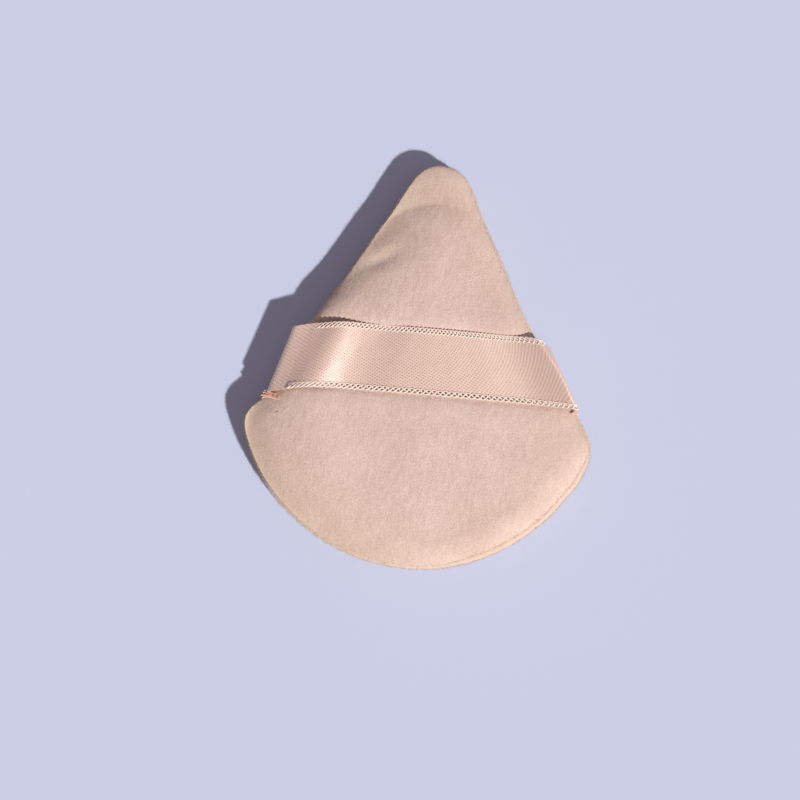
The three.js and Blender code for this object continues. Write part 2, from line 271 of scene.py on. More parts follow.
def turn_back_to(item, direction):
    """Points a camera or a lamp away from a direction."""
    item.rotation_mode = "QUATERNION"
    item.rotation_quaternion = direction.to_track_quat("Z", "Y")


def make_camera():
    right, up, back = camera_axes()
    data = bpy.data.cameras.new("photo_camera")
    data.lens = LENS_MM
    data.sensor_width = SENSOR_MM
    camera = placed("photo_camera", data)
    pixel = CAMERA_DISTANCE * SENSOR_MM / LENS_MM / PHOTO_PIXELS
    half = PHOTO_PIXELS / 2
    aim = right * (half - ORIGIN_PIXEL[0]) * pixel + up * (ORIGIN_PIXEL[1] - half) * pixel
    camera.location = (aim + back * CAMERA_DISTANCE) * MM
    turn_back_to(camera, back)
    bpy.context.scene.camera = camera


def make_key_lamp():
    right, up, _ = camera_axes()
    across = right * KEY_IMAGE_DIRECTION[0] + up * KEY_IMAGE_DIRECTION[1]
    across.z = 0
    towards = across.normalized() * math.cos(KEY_ELEVATION)
    towards.z = math.sin(KEY_ELEVATION)
    data = bpy.data.lights.new("key_lamp", "SUN")
    data.energy = KEY_STRENGTH
    data.angle = KEY_ANGLE
    data.color = KEY_COLOUR
    lamp = placed("key_lamp", data)
    turn_back_to(lamp, towards)
    lamp.location = towards


def make_world():
    world = bpy.data.worlds.new("studio_fill")
    world.use_nodes = True
    fill = world.node_tree.nodes["Background"]
    feed(world.node_tree, fill, {"Color": (*FILL_COLOUR, 1), "Strength": FILL_STRENGTH})
    bpy.context.scene.world = world


def make_floor():
    mesh = bpy.data.meshes.new("floor")
    half = FLOOR_SIZE / 2
    corners = [(-half, -half, 0), (half, -half, 0), (half, half, 0), (-half, half, 0)]
    mesh.from_pydata(corners, [], [(0, 1, 2, 3)])
    floor = placed("floor", mesh)
    material, tree, shader = new_material("floor", roughness=0.9, specular=0.2)
    feed(tree, shader, {"Base Color": (*FLOOR_COLOUR, 1)})
    mesh.materials.append(material)


# Materials


def feed(tree, node, values):
    """Values for a node's inputs, by name or number: constants, or outputs of other nodes."""
    for place, value in values.items():
        if isinstance(value, bpy.types.NodeSocket):
            tree.links.new(value, node.inputs[place])
        else:
            node.inputs[place].default_value = value


def new_node(tree, kind, values):
    node = tree.nodes.new("ShaderNode" + kind)
    feed(tree, node, values)
    return node


def new_material(name, roughness, specular):
    material = bpy.data.materials.new(name)
    material.use_nodes = True
    tree = material.node_tree
    shader = tree.nodes["Principled BSDF"]
    feed(tree, shader, {"Roughness": roughness, "Specular IOR Level": specular})
    return material, tree, shader


def coordinates(tree, kind, stretch=(1, 1, 1), turn=0.0):
    """The piece's own coordinates, stretched and turned about Z."""
    source = tree.nodes.new("ShaderNodeTexCoord")
    values = {"Vector": source.outputs[kind], "Scale": stretch, "Rotation": (0, 0, turn)}
    return new_node(tree, "Mapping", values).outputs["Vector"]


def contrast(tree, value, low, high):
    """value moved from low..high to 0..1."""
    values = {"Value": value, "From Min": low, "From Max": high}
    return new_node(tree, "MapRange", values).outputs["Result"]


def mottle(tree, vector, size_mm, detail=2, roughness=0.5, spread=0.2):
    """Soft patches from 0 to 1, about size_mm wide, and sharper the smaller their spread."""
    scale = 1 / (size_mm * MM)
    values = {"Vector": vector, "Scale": scale, "Detail": detail, "Roughness": roughness}
    patches = new_node(tree, "TexNoise", values)
    return contrast(tree, patches.outputs["Fac"], 0.5 - spread, 0.5 + spread)


def maths(tree, operation, *values):
    node = tree.nodes.new("ShaderNodeMath")
    node.operation = operation
    feed(tree, node, dict(enumerate(values)))
    return node.outputs[0]


def weighted(tree, *terms):
    """The sum of (value, weight) terms."""
    total = 0.0
    for value, weight in terms:
        total = maths(tree, "MULTIPLY_ADD", value, weight, total)
    return total


def mixed(tree, factor, a, b):
    """A colour between a and b."""
    node = tree.nodes.new("ShaderNodeMix")
    node.data_type = "RGBA"
    feed(tree, node, {0: factor, 6: a, 7: b})
    return node.outputs[2]


def bumped(tree, height, depth_mm, under=None):
    node = new_node(tree, "Bump", {"Height": height, "Distance": depth_mm * MM})
    if under:
        feed(tree, node, {"Normal": under})
    return node.outputs["Normal"]


def linear(red, green, blue):
    """A colour given as sRGB out of 255, as linear numbers."""
    def one(value):
        share = value / 255
        return share / 12.92 if share <= 0.04045 else ((share + 0.055) / 1.055) ** 2.4
    return one(red), one(green), one(blue), 1


def velour_material(name, shade, light, sheen, relief):
    """Short cut pile: fine speckle over soft patches where the nap leans differently, and lower
    down a yellower rim tint, a painted sheen, that on the pile is also a painted shade."""
    material, tree, shader = new_material(name, roughness=0.95, specular=0.15)
    plain = coordinates(tree, "Object")
    brushed = coordinates(tree, "Object", stretch=(1.5, 0.6, 1), turn=math.radians(10))
    speckle = mottle(tree, plain, 0.26)
    tufts = mottle(tree, brushed, 1.3, detail=3, roughness=0.6)
    patches = mottle(tree, plain, 9.0)
    tone = weighted(tree, (speckle, 0.45), (tufts, 0.25), (patches, 0.3))
    place = new_node(tree, "SeparateXYZ", {0: plain})
    # Painted sheen and shade: the rim tint's share grows from the first rim height down to the
    # second
    edge = contrast(tree, place.outputs["Z"], *(height * MM for height in PAINTED_RIM_HEIGHTS))
    face = mixed(tree, tone, shade, light)
    # The rim tint: a painted sheen, and on the pile also a painted shade
    rim = mixed(tree, tone, linear(202, 174, 148), linear(230, 206, 182))
    soft = bumped(tree, tufts, relief)
    feed(tree, shader, {
        "Base Color": mixed(tree, maths(tree, "MULTIPLY", edge, PAINTED_RIM_SHARE), face, rim),
        "Normal": bumped(tree, speckle, relief, soft),
        "Sheen Weight": sheen,
        "Sheen Roughness": 0.5,
        "Sheen Tint": (1.0, 0.93, 0.86, 1),
    })
    return material


def rib_wave(tree, degrees, pitch_mm):
    """Fine straight ribs across the ribbon's lay, at an angle from its length."""
    lay = coordinates(tree, "UV", turn=math.radians(degrees))
    scale = 2 * math.pi / 20 / (pitch_mm * MM)
    values = {"Vector": lay, "Scale": scale, "Distortion": 0.8, "Detail": 2, "Detail Scale": 1.5}
    return new_node(tree, "TexWave", values).outputs["Fac"]


def satin_material():
    """Polyester satin: long floats that show as a fine slanting lattice, and a strong gloss
    that is narrow along the floats and wide across them."""
    material, tree, shader = new_material("satin_ribbon", roughness=0.46, specular=0.7)
    lay = coordinates(tree, "UV")
    lattice = maths(tree, "MAXIMUM", rib_wave(tree, -65, 0.48), rib_wave(tree, 42, 0.5))
    grain = mottle(tree, lay, 0.3, detail=3, spread=0.15)
    tone = weighted(tree, (lattice, 0.75), (grain, 0.25))
    weave = bumped(tree, lattice, 0.015)
    tangent = tree.nodes.new("ShaderNodeTangent")
    tangent.direction_type = "UV_MAP"
    tangent.uv_map = "ribbon_lay"
    feed(tree, shader, {
        "Base Color": mixed(tree, tone, linear(218, 140, 116), linear(255, 236, 219)),
        "Normal": bumped(tree, mottle(tree, lay, 4.0), 0.04, weave),
        "Metallic": 0.05,
        "IOR": 2.3,
        "Specular Tint": (1.0, 0.95, 0.89, 1),
        "Anisotropic": 0.8,
        "Anisotropic Rotation": 0.25,
        "Tangent": tangent.outputs["Tangent"],
    })
    return material


def thread_material(name, shade, light, roughness=0.6):
    """Spun thread, finely mottled by its plies."""
    material, tree, shader = new_material(name, roughness=roughness, specular=0.4)
    plies = mottle(tree, coordinates(tree, "Object"), 0.12, spread=0.15)
    feed(tree, shader, {
        "Base Color": mixed(tree, plies, shade, light),
        "Normal": bumped(tree, plies, 0.015),
        "Sheen Weight": 0.3,
        "Sheen Roughness": 0.4,
    })
    return material


def foam_material():
    """Open-cell foam: small round pores, pitted, and painted darker inside as shade."""
    material, tree, shader = new_material("foam", roughness=0.95, specular=0.2)
    values = {"Vector": coordinates(tree, "Object"), "Scale": 1 / (PORE_SIZE * MM)}
    cells = new_node(tree, "TexVoronoi", values)
    pores = contrast(tree, cells.outputs["Distance"], 0.1, 0.5)
    feed(tree, shader, {
        # Painted shade: each pore's colour darkens towards its middle, where the pit is deepest
        "Base Color": mixed(tree, pores, linear(196, 184, 156), linear(244, 236, 216)),
        "Normal": bumped(tree, pores, 0.15),
    })
    return material


# Meshes


def new_piece(name, points, faces, material, slot):
    """A mesh object from points in millimetres. The caller says what it rides on."""
    mesh = bpy.data.meshes.new(name)
    mesh.from_pydata((np.asarray(points) * MM).tolist(), [], [list(face) for face in faces])
    mesh.materials.append(material)
    mesh.polygons.foreach_set("use_smooth", [True] * len(mesh.polygons))
    mesh.update()
    piece = placed(name, mesh)
    return piece


def corner_points(mesh):
    """The point number at each corner of a mesh's faces."""
    numbers = np.zeros(len(mesh.loops), np.int32)
    mesh.loops.foreach_get("vertex_index", numbers)
    return numbers


def lay_out(mesh, name, places):
    """A UV map with a place for each corner."""
    layer = mesh.uv_layers.new(name=name)
    layer.data.foreach_set("uv", places.astype(np.float32).ravel())


def rim_numbers(rows, columns):
    """The numbers of the points round the rim of a grid of points."""
    number = np.arange(rows * columns).reshape(rows, columns)
    return np.concatenate([number[0, :-1], number[:-1, -1], number[-1, :0:-1], number[:0:-1, 0]])


def quad_strip(first, second):
    """Quads between two equal closed rings of point numbers."""
    return np.stack([first, second, np.roll(second, -1), np.roll(first, -1)], axis=1)


def grid_quads(rows, columns, start=0):
    """Quads of a grid of points numbered row by row."""
    i, j = np.meshgrid(np.arange(rows - 1), np.arange(columns - 1), indexing="ij")
    corner = (start + i * columns + j).ravel()
    return np.stack([corner, corner + 1, corner + columns + 1, corner + columns], axis=1)


def unit(vectors, least=1e-12):
    """Vectors made one long, apart from those shorter than least."""
    return vectors / np.maximum(np.linalg.norm(vectors, axis=-1, keepdims=True), least)


def run_length(path):
    """The length along a path at each of its points."""
    return np.concatenate([[0], np.cumsum(np.linalg.norm(np.diff(path, axis=0), axis=1))])


def looked_up(places, at, table):
    """A table's columns at new places, where its rows lie at the places in at."""
    return np.stack([np.interp(places, at, column) for column in table.T], axis=1)


def normals_of(points, quads):
    """A unit normal for each point, from the quads round it."""
    a, b, c, d = (points[quads[:, k]] for k in range(4))
    flat = np.cross(c - a, d - b)
    total = np.zeros_like(points)
    for k in range(4):
        np.add.at(total, quads[:, k], flat)
    return unit(total)


def waves(x, y, size, seed):
    """Smooth noise from -1 to 1 at each (x, y), with features about size wide."""
    return np.array([
        noise.noise(Vector((a / size, b / size, seed))) for a, b in zip(x, y, strict=True)
    ])


def smoothstep(low, high, value):
    """0 at low and 1 at high, or the other way up if high is the smaller."""
    share = np.clip((value - low) / (high - low), 0, 1)
    return share * share * (3 - 2 * share)


def tube(route, radius, sides):
    """Points and faces of a tube with flat ends round a route of points."""
    ahead = np.empty_like(route)
    ahead[1:-1] = route[2:] - route[:-2]
    ahead[0] = route[1] - route[0]
    ahead[-1] = route[-1] - route[-2]
    ahead = unit(ahead)
    beside = np.cross(ahead, [0.0, 0.0, 1.0])
    steep = np.linalg.norm(beside, axis=1) < 0.05
    beside[steep] = np.cross(ahead[steep], [0.0, 1.0, 0.0])
    beside = unit(beside)
    over = np.cross(beside, ahead)
    angles = np.arange(sides) * 2 * math.pi / sides
    radii = np.broadcast_to(radius, (len(route),))
    ring = (
        beside[:, None] * np.cos(angles)[None, :, None]
        + over[:, None] * np.sin(angles)[None, :, None]
    )
    points = (route[:, None] + ring * radii[:, None, None]).reshape(-1, 3)
    faces = []
    last = (len(route) - 1) * sides
    for start in range(0, last, sides):
        first = np.arange(sides) + start
        faces += quad_strip(first, first + sides).tolist()
    faces.append(list(range(sides)))
    faces.append([last + k for k in reversed(range(sides))])
    return points, faces


def joined(parts):
    """Several (points, faces) as one."""
    points, faces, start = [], [], 0
    for these, sides in parts:
        points.append(np.asarray(these))
        faces += [[k + start for k in face] for face in sides]
        start += len(these)
    return np.concatenate(points), faces


# The cushion's outline


def measure_outline():
    """The outline's arcs, from the frame's own length and width."""
    low, high = (np.array(corner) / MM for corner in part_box("front_panel"))
    corner_x = high[0] - CORNER_RADIUS
    corner_y = low[1] + BASE_BOW + CORNER_RADIUS
    base_radius = BASE_BOW / 2 + CORNER_RADIUS + corner_x**2 / (2 * BASE_BOW)
    base_y = low[1] + base_radius
    tip_y = high[1] - TIP_RADIUS
    run = math.hypot(corner_x, corner_y - tip_y)
    lean = math.acos((TIP_RADIUS - CORNER_RADIUS) / run)
    side = math.atan2(corner_y - tip_y, corner_x) + lean
    return {
        "corner": (corner_x, corner_y),
        "base": (base_y, base_radius),
        "tip_y": tip_y,
        "side": side,
        "base_angle": math.atan2(corner_y - base_y, corner_x),
        "side_reach": math.sin(side) * tip_y + TIP_RADIUS,
    }


shape = measure_outline()
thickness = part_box("front_panel")[1].z / MM


def outline(count):
    """count points evenly round the outline, and the directions out of it, from the middle
    of the base, counter-clockwise."""
    corner_x, corner_y = shape["corner"]
    base_y, base_radius = shape["base"]
    side, base_angle = shape["side"], shape["base_angle"]
    arcs = [
        ((0, base_y), base_radius, -math.pi / 2, base_angle),
        ((corner_x, corner_y), CORNER_RADIUS, base_angle, side),
        ((0, shape["tip_y"]), TIP_RADIUS, side, math.pi - side),
        ((-corner_x, corner_y), CORNER_RADIUS, math.pi - side, math.pi - base_angle),
        ((0, base_y), base_radius, math.pi - base_angle, 1.5 * math.pi),
    ]
    points, directions = [], []
    for centre, radius, start, stop in arcs:
        angles = np.linspace(start, stop, 200)
        out = np.stack([np.cos(angles), np.sin(angles)], axis=1)
        points.append(np.array(centre) + radius * out)
        directions.append(out)
    points = np.concatenate(points)
    along = run_length(points)
    keep = np.concatenate([[True], np.diff(along) > 1e-9])
    places = np.linspace(0, along[-1], count, endpoint=False)
    table = np.column_stack([points, np.concatenate(directions)])
    spread = looked_up(places, along[keep], table[keep])
    return spread[:, :2], unit(spread[:, 2:])


def within(value, span):
    """0 outside a span and 1 inside it, with soft ends."""
    return smoothstep(*span[:2], value) * (1 - smoothstep(*span[2:], value))


def drawn_in(point, front):
    """How far the edge lies inside the plain outline at each of its points."""
    x, y = point.T
    inset = UNEVEN_EDGE * waves(x, y, 14, 3.7) + UNEVEN_EDGE / 2 * waves(x, y, 5, 8.1)
    inset += PILE_STAND + SIDE_SETBACK * within(y, SETBACK_SPAN)
    inset += PINCH_DEPTH * smoothstep(*SIDE_FADE, -x) * within(y, PINCH_SPAN)
    inset += np.where(x > 0, RIGHT_HOLLOW, LEFT_HOLLOW) * within(y, HOLLOW_SPAN)
    inset -= RIGHT_SWELL * smoothstep(*SIDE_FADE, x) * within(y, SWELL_SPAN)
    if front:
        inset += FRONT_SETBACK
        inset += BASE_SETBACK * smoothstep(*BASE_RIGHT, x) * (1 - smoothstep(*BASE_TOP, y))
    return inset


def drawn_outline(count, front, inset=0.0):
    """Points round the plain outline, the directions out of it, and the points of a panel's
    edge, or of a line inset from it."""
    plain, out = outline(count)
    return plain, out, plain - (drawn_in(plain, front) + inset)[:, None] * out


def past_ribbon(x, y):
    """How far past the ribbon's nearer edge a place is; less than 0 under the ribbon."""
    return np.abs(y - RIBBON_MIDDLE - RIBBON_TILT * x) - RIBBON_HALF_WIDTH


def edge_fall(x, y):
    """How far the stuffing lets the front down towards its edge, most of all on the left."""
    across, ahead = math.cos(shape["side"]), math.sin(shape["side"])
    base_y, base_radius = shape["base"]
    edges = np.stack([
        shape["side_reach"] - x * across - y * ahead,
        shape["side_reach"] + x * across - y * ahead,
        base_radius - np.hypot(x, y - base_y),
    ])
    inset = -FALL_BLEND * np.log(np.sum(np.exp(-edges / FALL_BLEND), axis=0))
    share = np.clip(1 - inset / FALL_REACH, 0, 1)
    on_left = smoothstep(FALL_TURN, -FALL_TURN, x)
    depth = RIGHT_EDGE_FALL + (EDGE_FALL - RIGHT_EDGE_FALL) * on_left
    above_ribbon = y - RIBBON_MIDDLE - RIBBON_HALF_WIDTH - HELD_PLACE
    return depth * share**2 * (1 - HELD_UP * np.exp(-((above_ribbon / HELD_REACH) ** 2)))


def settled(points):
    """Points of the front, let down with the stuffing and pressed in by the ribbon; what is
    near the seam stays."""
    points = np.array(points, float)
    x, y, z = points.T
    share = np.clip((z - SEAM_HEIGHT - SETTLED_FROM) / SETTLED_RISE, 0, 1)
    pressed = RIBBON_DENT * (1 - smoothstep(-PRESS_EDGE, PRESS_EDGE, past_ribbon(x, y)))
    points[:, 2] -= share * (edge_fall(x, y) + pressed)
    return points


def face_relief(x, y):
    """What the front face's height gains from the unevenness, the dent and the swelling
    beside the ribbon."""
    turn = np.array([math.cos(DENT_ANGLE), math.sin(DENT_ANGLE)])
    dx, dy = x - DENT_CENTRE[0], y - DENT_CENTRE[1]
    along = (dx * turn[0] + dy * turn[1]) / DENT_LENGTH
    across = (dy * turn[0] - dx * turn[1]) / DENT_WIDTH
    dent = -DENT_DEPTH * np.exp(-(along**2) - across**2)
    lip = LIP_SHARE * DENT_DEPTH * np.exp(-(along**2) - (across - LIP_PLACE) ** 2 / LIP_SPREAD)
    uneven = UNEVEN_FACE * waves(x, y, 11, 1.3)
    beside = (past_ribbon(x, y) - SWELL_PLACE) / SWELL_REACH
    return dent + lip + uneven + RIBBON_SWELL * np.exp(-(beside**2))


# The two velour panels


def square_walk():
    """For each point of a square grid: how far it is from the middle, 0 to 1, and its place
    round the outline, as a share counted from the middle of the base."""
    steps = np.arange(-FACE_RINGS, FACE_RINGS + 1) / FACE_RINGS
    b, a = np.meshgrid(steps, steps, indexing="ij")
    ring = np.maximum(np.abs(a), np.abs(b))
    safe = np.maximum(ring, 1e-9)
    walk = np.select(
        [(b == -ring), (a == ring), (b == ring)],
        [(a / safe + 1) / 8, 0.25 + (b / safe + 1) / 8, 0.5 + (1 - a / safe) / 8],
        0.75 + (1 - b / safe) / 8,
    )
    return ring, (walk - 0.125) % 1.0


def face_level(front, scale):
    """Height of a plain face at a scale of 0 in the middle to 1 at the shoulder. The back is
    flat where it rests."""
    rise = CROWN_RISE * (1 - scale**2) ** 2
    if front:
        return thickness - CROWN_RISE + rise
    return np.maximum(CROWN_RISE - REST_CUT - rise, 0)


def edge_roll(front):
    """A rolled edge's belly height, its rise to the shoulder and its reach."""
    belly = SEAM_HEIGHT + (BELLY_HEIGHT if front else -BELLY_HEIGHT)
    reach = EDGE_ROLL if front else EDGE_ROLL + BACK_SPREAD
    return belly, abs(face_level(front, 1.0) - belly), reach


def panel_profile(front):
    """(inset, height) pairs: the outside from past the shoulder to the end of the groove,
    and the inside back to the shoulder."""
    up = 1 if front else -1
    belly, rise, reach = edge_roll(front)
    turns = np.linspace(math.pi / 2, math.radians(-14), ROLL_RINGS + 1)[1:]
    outside = [
        (EDGE_ROLL - reach * math.cos(t), belly + up * rise * math.sin(t)) for t in turns
    ]
    lip = outside[-1][0]
    opening, floor = SEAM_HEIGHT + up * SEAM_OPENING, SEAM_HEIGHT + up * GROOVE_FLOOR
    outside += [
        (lip + 0.12, opening + up * 0.3),
        (lip + 0.4, opening),
        (lip + 0.8, (opening + floor) / 2),
        (STITCH_LINE + 0.1, floor),
    ]
    inner_rise, inner_reach = rise - FABRIC_THICKNESS, reach - FABRIC_THICKNESS
    inside = [(SEAM_ALLOWANCE, floor), (SEAM_ALLOWANCE, floor + up * FABRIC_THICKNESS)]
    inside += [
        (EDGE_ROLL - inner_reach * math.cos(t), belly + up * inner_rise * math.sin(t))
        for t in np.linspace(0.2, math.pi / 2, 5)
    ]
    return outside, inside


def level_ring(places, level):
    """Points at plan places, all at one height."""
    return np.column_stack([places, np.full(len(places), level)])


def panel_piece(name, front, material):
    """One panel: a crowned face on a fine grid, its rolled edge, the turned-in allowance and
    the inner face. Returns the piece, its outer points, their quads and their normals."""
    up = 1 if front else -1
    ring, walk = square_walk()
    side = 2 * FACE_RINGS + 1
    rim = np.roll(rim_numbers(side, side), -FACE_RINGS)  # from the middle of the base
    count = len(rim)
    plain, out, edge = drawn_outline(count, front)
    shoulder = edge - EDGE_ROLL * out

    def spread(values):
        """Values at the outline's points, looked up round each of the face's rings."""
        looped = np.concatenate([values, values[:1]])
        return looked_up(walk.ravel() * count, np.arange(count + 1), looped)

    scale = ring.ravel()[:, None]
    face = spread(plain - EDGE_ROLL * out) * scale
    face += spread(edge - plain) * scale**DRAWN_POWER
    x, y = face.T
    height = face_level(front, ring.ravel())
    bump = PILE_BUMP * (waves(x, y, 0.9, 5.5) + waves(x, y, 2.1, 6.5))
    if front:
        height += face_relief(x, y) + bump
    else:
        height = np.maximum(height + bump * BACK_BUMP, 0)
    grid = np.column_stack([face, height])
    outside, inside = panel_profile(front)
    rings = [level_ring(edge - inset * out, level) for inset, level in outside + inside]
    for k in range(len(outside)):
        px, py, pz = rings[k].T
        fade = 1 - k / len(outside)
        push = PILE_BUMP * (waves(px + pz, py - pz, 0.9, 5.5) + waves(px, py, 2.1, 6.5))
        rings[k][:, :2] += (push[:, None] * out) * (1 - fade)
        if front:
            rings[k][:, 2] += fade * (face_relief(px, py) + push)
        else:
            rings[k][:, 2] = np.maximum(rings[k][:, 2] + fade * push * BACK_BUMP, 0)
    for scale in np.linspace(0.94, 0.1, INNER_RINGS):
        level = face_level(front, scale) - up * FABRIC_THICKNESS
        rings.append(level_ring(shoulder * scale, level))
    pole = np.array([[0, 0, face_level(front, 0.0) - up * FABRIC_THICKNESS]])
    points = np.concatenate([grid, *rings, pole])
    if front:
        points = settled(points)
    numbers = [rim, *(len(grid) + np.arange(len(rings) * count).reshape(-1, count))]
    strips = [quad_strip(a, b) for a, b in zip(numbers, numbers[1:], strict=False)]
    quads = np.concatenate([grid_quads(side, side), *strips])
    last = numbers[-1]
    fan = np.stack([last, np.full(count, len(points) - 1), np.roll(last, -1)], axis=1)
    outer_quads = quads[: (side - 1) ** 2 + count * (len(outside) - 3)]
    if not front:
        quads, fan, outer_quads = quads[:, ::-1], fan[:, ::-1], outer_quads[:, ::-1]
    piece = new_piece(name, points, [*quads.tolist(), *fan.tolist()], material, "velour")
    return piece, points, outer_quads, normals_of(points, outer_quads)


def spread_over(surface, front, count):
    """count random places on a panel's outer surface, denser on its edge and sparse where it
    rests, and the surface's normal at each."""
    points, quads, normals = surface
    triangles = np.concatenate([quads[:, [0, 1, 2]], quads[:, [0, 2, 3]]])
    a, b, c = (points[triangles[:, k]] for k in range(3))
    weight = np.linalg.norm(np.cross(b - a, c - a), axis=1)
    on_edge = (a[:, 2] < FRONT_EDGE_TOP) if front else (a[:, 2] > BACK_EDGE_FOOT)
    weight = weight * np.where(on_edge, EDGE_DENSITY, 1.0)
    if not front:
        weight = np.where(a[:, 2] < REST_HEIGHT, weight * REST_DENSITY, weight)
    corners = triangles[random.choice(len(triangles), count, p=weight / weight.sum())]
    u, v = random.random((2, count))
    over = u + v > 1
    u[over], v[over] = 1 - u[over], 1 - v[over]
    shares = np.stack([1 - u - v, u, v], axis=1)[:, :, None]
    root = (points[corners] * shares).sum(axis=1)
    return root, unit((normals[corners] * shares).sum(axis=1))


def nap_direction(x, y):
    """Which way the pile is brushed at each place: outward, a little towards the base, and in
    swirls."""
    lean = np.column_stack([x / 34, y / 40 - 0.25])
    swirl = 1.1 * waves(x, y, 9, 11.5) + 0.5 * waves(x, y, 3, 12.5)
    turned = np.column_stack([
        lean[:, 0] * np.cos(swirl) - lean[:, 1] * np.sin(swirl),
        lean[:, 0] * np.sin(swirl) + lean[:, 1] * np.cos(swirl),
        np.zeros(len(x)),
    ])
    return unit(turned, least=0.35)


def pile_piece(name, count, surface, front, material):
    """The pile: short flat tufts that overlap along the nap, and finer, longer hairs on the
    rolled edge. They are shaded as the cloth under them, a little unevenly."""
    root, normal = spread_over(surface, front, count)
    x, y = root[:, 0], root[:, 1]
    steep = (1 - np.abs(normal[:, 2]))[:, None]
    direction = 0.8 * nap_direction(x, y) + random.normal(0, 0.3, (count, 3))
    direction -= (direction * normal).sum(axis=1, keepdims=True) * normal
    direction = unit(unit(direction) + (0.1 + 0.9 * steep) * normal)
    length = TUFT_LENGTH * random.uniform(0.6, 1.3, (count, 1)) * (1 + EDGE_HAIR * steep)
    width = TUFT_WIDTH * random.uniform(0.7, 1.25, (count, 1)) * (1 - EDGE_HAIR * steep)
    if not front:
        resting = root[:, 2] < SQUASHED_BELOW
        length[resting] *= 0.5
        direction[resting, 2] = np.maximum(direction[resting, 2], -0.05)
    side = unit(np.cross(direction, normal))
    root = root - TUFT_ROOT * normal
    corners = [
        root - side * width / 2,
        root + side * width / 2,
        root + direction * length * 0.35 + normal * TUFT_ARCH,
        root + direction * length,
    ]
    points = np.stack(corners, axis=1).reshape(-1, 3)
    if not front:
        points[:, 2] = np.maximum(points[:, 2], 0.0)
    first = np.arange(count)[:, None] * 4
    faces = np.concatenate(
        [first + np.array(face) for face in ((0, 1, 2), (1, 3, 2), (3, 0, 2), (0, 3, 1))]
    )
    piece = new_piece(name, points, faces, material, "velour")
    mesh = piece.data
    shading = unit(normal + random.normal(0, TUFT_TILT, (count, 3)))
    mesh.normals_split_custom_set_from_vertices(np.repeat(shading, 4, axis=0).tolist())
    lay_out(mesh, "OFBake", points[corner_points(mesh), :2] / BAKE_SPAN + 0.5)
    return piece


# What lies between the panels


def foam_core(material):
    """The foam pad: the cover's inner shape, set in all round."""
    count = FOAM_POINTS
    _, out, edge = drawn_outline(count, True)
    lining = FABRIC_THICKNESS + CLEARANCE
    inset = SEAM_ALLOWANCE + CLEARANCE
    scales = np.linspace(0.08, 1, FOAM_RINGS)
    top, bottom = (face_level(front, 1.0) for front in (True, False))
    middle, rise = (top + bottom) / 2, (top - bottom) / 2 - lining
    shoulder = edge - EDGE_ROLL * out
    rings = [(shoulder * scale, face_level(True, scale) - lining) for scale in scales]
    for turn in np.linspace(math.pi / 2, -math.pi / 2, 19)[1:-1]:
        place = edge - (EDGE_ROLL - (EDGE_ROLL - inset) * math.cos(turn)) * out
        rings.append((place, middle + rise * math.sin(turn)))
    rings += [
        (shoulder * scale, face_level(False, scale) + lining) for scale in scales[::-1]
    ]
    points = [level_ring(place, level) for place, level in rings]
    points.append([[0, 0, face_level(True, 0.0) - lining], [0, 0, lining]])
    points = settled(np.concatenate(points))
    faces = []
    for k in range(len(rings) - 1):
        first = k * count + np.arange(count)
        faces += quad_strip(first, first + count).tolist()
    upper, lower = len(points) - 2, len(points) - 1
    last = (len(rings) - 1) * count
    for i in range(count):
        after = (i + 1) % count
        faces.append([i, after, upper])
        faces.append([last + after, last + i, lower])
    return new_piece("foam_pad", points, faces, material, "foam")


def stitch_line():
    """Places on the line of stitches, the directions out of it, and how far past the turning
    gap each is, in radians."""
    _, out, place = drawn_outline(OUTLINE_POINTS, False, STITCH_LINE)
    base_y, base_radius = shape["base"]
    from_middle = np.abs(np.arctan2(place[:, 0], base_y - place[:, 1]))
    half_gap = TURNING_GAP / 2 / (base_radius - STITCH_LINE)
    return place, out, from_middle - half_gap


def seam_thread(material):
    """The machine seam, drawn down a little between one stitch hole and the next."""
    place, _, past_gap = stitch_line()
    kept = place[past_gap > GAP_ENDS[0]]
    holes = np.cos(2 * math.pi * run_length(kept) / STITCH_LENGTH) ** 2
    route = np.column_stack([kept, SEAM_HEIGHT + 0.02 * (holes - 0.5)])
    thread = tube(route, THREAD_RADIUS * (0.85 + 0.15 * holes), sides=8)
    return new_piece("seam_line", *thread, material, "seam_thread")


def closing_thread(material):
    """The hand stitches swing between the two folded edges to close the turning gap."""
    place, out, past_gap = stitch_line()
    inside = np.flatnonzero(past_gap < GAP_ENDS[1])
    inside = inside[np.argsort(place[inside, 0])]
    share = np.linspace(0, 1, len(inside))
    swing = CLOSING_SWING * np.cos(2 * math.pi * CLOSING_STITCHES * share)
    route = level_ring(place[inside] - swing[:, None] * out[inside], SEAM_HEIGHT)
    thread = tube(route, THREAD_RADIUS, sides=8)
    return new_piece("closing_stitches", *thread, material, "seam_thread")


